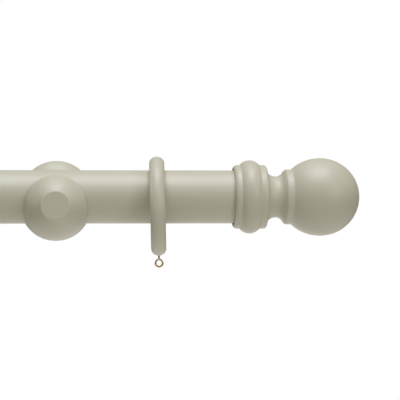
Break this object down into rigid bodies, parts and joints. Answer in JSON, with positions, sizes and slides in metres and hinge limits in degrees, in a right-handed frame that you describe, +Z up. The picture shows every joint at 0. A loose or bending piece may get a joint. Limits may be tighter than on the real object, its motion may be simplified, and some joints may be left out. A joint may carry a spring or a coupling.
{
  "type": "curtain rod with brackets",
  "caption": "Round painted wooden curtain rod resting in open cup brackets, with turned ball finials that unscrew and sliding rings with brass screw eyes.",
  "frame": {"origin": "on the wall plane, midway between the two wall plates, level with the rod's axis", "axes": "+X along the rod, +Y into the wall, +Z up; the room is at -Y"},
  "size_m": [1.4138, 0.1388, 0.1046],
  "materials": {
    "painted_wood": "satin paint in a warm stone grey over turned hardwood",
    "brass": "bright drawn wire, slightly darkened",
    "zinc_steel": "zinc plated"
  },
  "bodies": {
    "brackets": {"left_wall_plate": "painted_wood", "left_cup": "painted_wood", "left_hanger_bolt": "zinc_steel", "right_wall_plate": "painted_wood", "right_cup": "painted_wood", "right_hanger_bolt": "zinc_steel"},
    "pole": {"pole": "painted_wood"},
    "left_pole_screw": {"left_pole_screw": "brass"},
    "right_pole_screw": {"right_pole_screw": "brass"},
    "left_dowel_screw": {"left_dowel_screw": "zinc_steel"},
    "left_finial": {"left_finial": "painted_wood"},
    "right_dowel_screw": {"right_dowel_screw": "zinc_steel"},
    "right_finial": {"right_finial": "painted_wood"},
    "ring_01": {"ring_01": "painted_wood"},
    "screw_eye_01": {"screw_eye_01": "brass"},
    "ring_02": {"ring_02": "painted_wood"},
    "screw_eye_02": {"screw_eye_02": "brass"},
    "ring_03": {"ring_03": "painted_wood"},
    "screw_eye_03": {"screw_eye_03": "brass"},
    "ring_04": {"ring_04": "painted_wood"},
    "screw_eye_04": {"screw_eye_04": "brass"},
    "ring_05": {"ring_05": "painted_wood"},
    "screw_eye_05": {"screw_eye_05": "brass"},
    "ring_06": {"ring_06": "painted_wood"},
    "screw_eye_06": {"screw_eye_06": "brass"},
    "ring_07": {"ring_07": "painted_wood"},
    "screw_eye_07": {"screw_eye_07": "brass"},
    "ring_08": {"ring_08": "painted_wood"},
    "screw_eye_08": {"screw_eye_08": "brass"},
    "ring_09": {"ring_09": "painted_wood"},
    "screw_eye_09": {"screw_eye_09": "brass"},
    "ring_10": {"ring_10": "painted_wood"},
    "screw_eye_10": {"screw_eye_10": "brass"}
  },
  "joints": [
    {"name": "pole_lift", "type": "slide", "parent": "brackets", "child": "pole", "axis": [0, 0, 1], "range_m": [0, 0.06]},
    {"name": "left_pole_screw_draw", "type": "slide", "parent": "brackets", "child": "left_pole_screw", "axis": [0, 0, -1], "range_m": [0, 0.012]},
    {"name": "right_pole_screw_draw", "type": "slide", "parent": "brackets", "child": "right_pole_screw", "axis": [0, 0, -1], "range_m": [0, 0.012]},
    {"name": "left_finial_draw", "type": "slide", "parent": "pole", "child": "left_dowel_screw", "axis": [-1, 0, 0], "range_m": [0, 0.0211]},
    {"name": "left_finial_turn", "type": "hinge", "parent": "left_dowel_screw", "child": "left_finial", "pos_m": [-0.6, -0.092, 0], "axis": [-1, 0, 0], "range_deg": [0, 2160]},
    {"name": "right_finial_draw", "type": "slide", "parent": "pole", "child": "right_dowel_screw", "axis": [1, 0, 0], "range_m": [0, 0.0211]},
    {"name": "right_finial_turn", "type": "hinge", "parent": "right_dowel_screw", "child": "right_finial", "pos_m": [0.6, -0.092, 0], "axis": [1, 0, 0], "range_deg": [0, 2160]},
    {"name": "ring_01_slide", "type": "slide", "parent": "pole", "child": "ring_01", "axis": [1, 0, 0], "range_m": [-0.064, 0.064]},
    {"name": "screw_eye_01_turn", "type": "hinge", "parent": "ring_01", "child": "screw_eye_01", "pos_m": [-0.51632, -0.092, -0.05528], "axis": [-0.0226, 0, -0.9997], "range_deg": [-90, 90]},
    {"name": "ring_02_slide", "type": "slide", "parent": "pole", "child": "ring_02", "axis": [1, 0, 0], "range_m": [-0.045, 0.077]},
    {"name": "screw_eye_02_turn", "type": "hinge", "parent": "ring_02", "child": "screw_eye_02", "pos_m": [-0.34315, -0.092, -0.05528], "axis": [0.0229, 0, -0.9997], "range_deg": [-90, 90]},
    {"name": "ring_03_slide", "type": "slide", "parent": "pole", "child": "ring_03", "axis": [1, 0, 0], "range_m": [-0.077, 0.077]},
    {"name": "screw_eye_03_turn", "type": "hinge", "parent": "ring_03", "child": "screw_eye_03", "pos_m": [-0.24734, -0.092, -0.05529], "axis": [-0.0113, 0, -0.9999], "range_deg": [-90, 90]},
    {"name": "ring_04_slide", "type": "slide", "parent": "pole", "child": "ring_04", "axis": [1, 0, 0], "range_m": [-0.077, 0.077]},
    {"name": "screw_eye_04_turn", "type": "hinge", "parent": "ring_04", "child": "screw_eye_04", "pos_m": [-0.14837, -0.092, -0.0553], "axis": [-0.0063, 0, -1], "range_deg": [-90, 90]},
    {"name": "ring_05_slide", "type": "slide", "parent": "pole", "child": "ring_05", "axis": [1, 0, 0], "range_m": [-0.077, 0.077]},
    {"name": "screw_eye_05_turn", "type": "hinge", "parent": "ring_05", "child": "screw_eye_05", "pos_m": [-0.04762, -0.092, -0.05528], "axis": [0.0206, 0, -0.9998], "range_deg": [-90, 90]},
    {"name": "ring_06_slide", "type": "slide", "parent": "pole", "child": "ring_06", "axis": [1, 0, 0], "range_m": [-0.077, 0.077]},
    {"name": "screw_eye_06_turn", "type": "hinge", "parent": "ring_06", "child": "screw_eye_06", "pos_m": [0.04735, -0.092, -0.05528], "axis": [-0.0241, 0, -0.9997], "range_deg": [-90, 90]},
    {"name": "ring_07_slide", "type": "slide", "parent": "pole", "child": "ring_07", "axis": [1, 0, 0], "range_m": [-0.077, 0.077]},
    {"name": "screw_eye_07_turn", "type": "hinge", "parent": "ring_07", "child": "screw_eye_07", "pos_m": [0.14905, -0.092, -0.05529], "axis": [0.0149, 0, -0.9999], "range_deg": [-90, 90]},
    {"name": "ring_08_slide", "type": "slide", "parent": "pole", "child": "ring_08", "axis": [1, 0, 0], "range_m": [-0.077, 0.077]},
    {"name": "screw_eye_08_turn", "type": "hinge", "parent": "ring_08", "child": "screw_eye_08", "pos_m": [0.2466, -0.092, -0.0553], "axis": [0.0021, 0, -1], "range_deg": [-90, 90]},
    {"name": "ring_09_slide", "type": "slide", "parent": "pole", "child": "ring_09", "axis": [1, 0, 0], "range_m": [-0.077, 0.045]},
    {"name": "screw_eye_09_turn", "type": "hinge", "parent": "ring_09", "child": "screw_eye_09", "pos_m": [0.34355, -0.092, -0.05529], "axis": [-0.018, 0, -0.9998], "range_deg": [-90, 90]},
    {"name": "ring_10_slide", "type": "slide", "parent": "pole", "child": "ring_10", "axis": [1, 0, 0], "range_m": [-0.064, 0.064]},
    {"name": "screw_eye_10_turn", "type": "hinge", "parent": "ring_10", "child": "screw_eye_10", "pos_m": [0.51647, -0.092, -0.05528], "axis": [0.0244, 0, -0.9997], "range_deg": [-90, 90]}
  ],
  "couplings": [
    {"joint": "left_finial_draw", "follows": "left_finial_turn", "m_per_rad": 0.00055704},
    {"joint": "right_finial_draw", "follows": "right_finial_turn", "m_per_rad": 0.00055704}
  ]
}
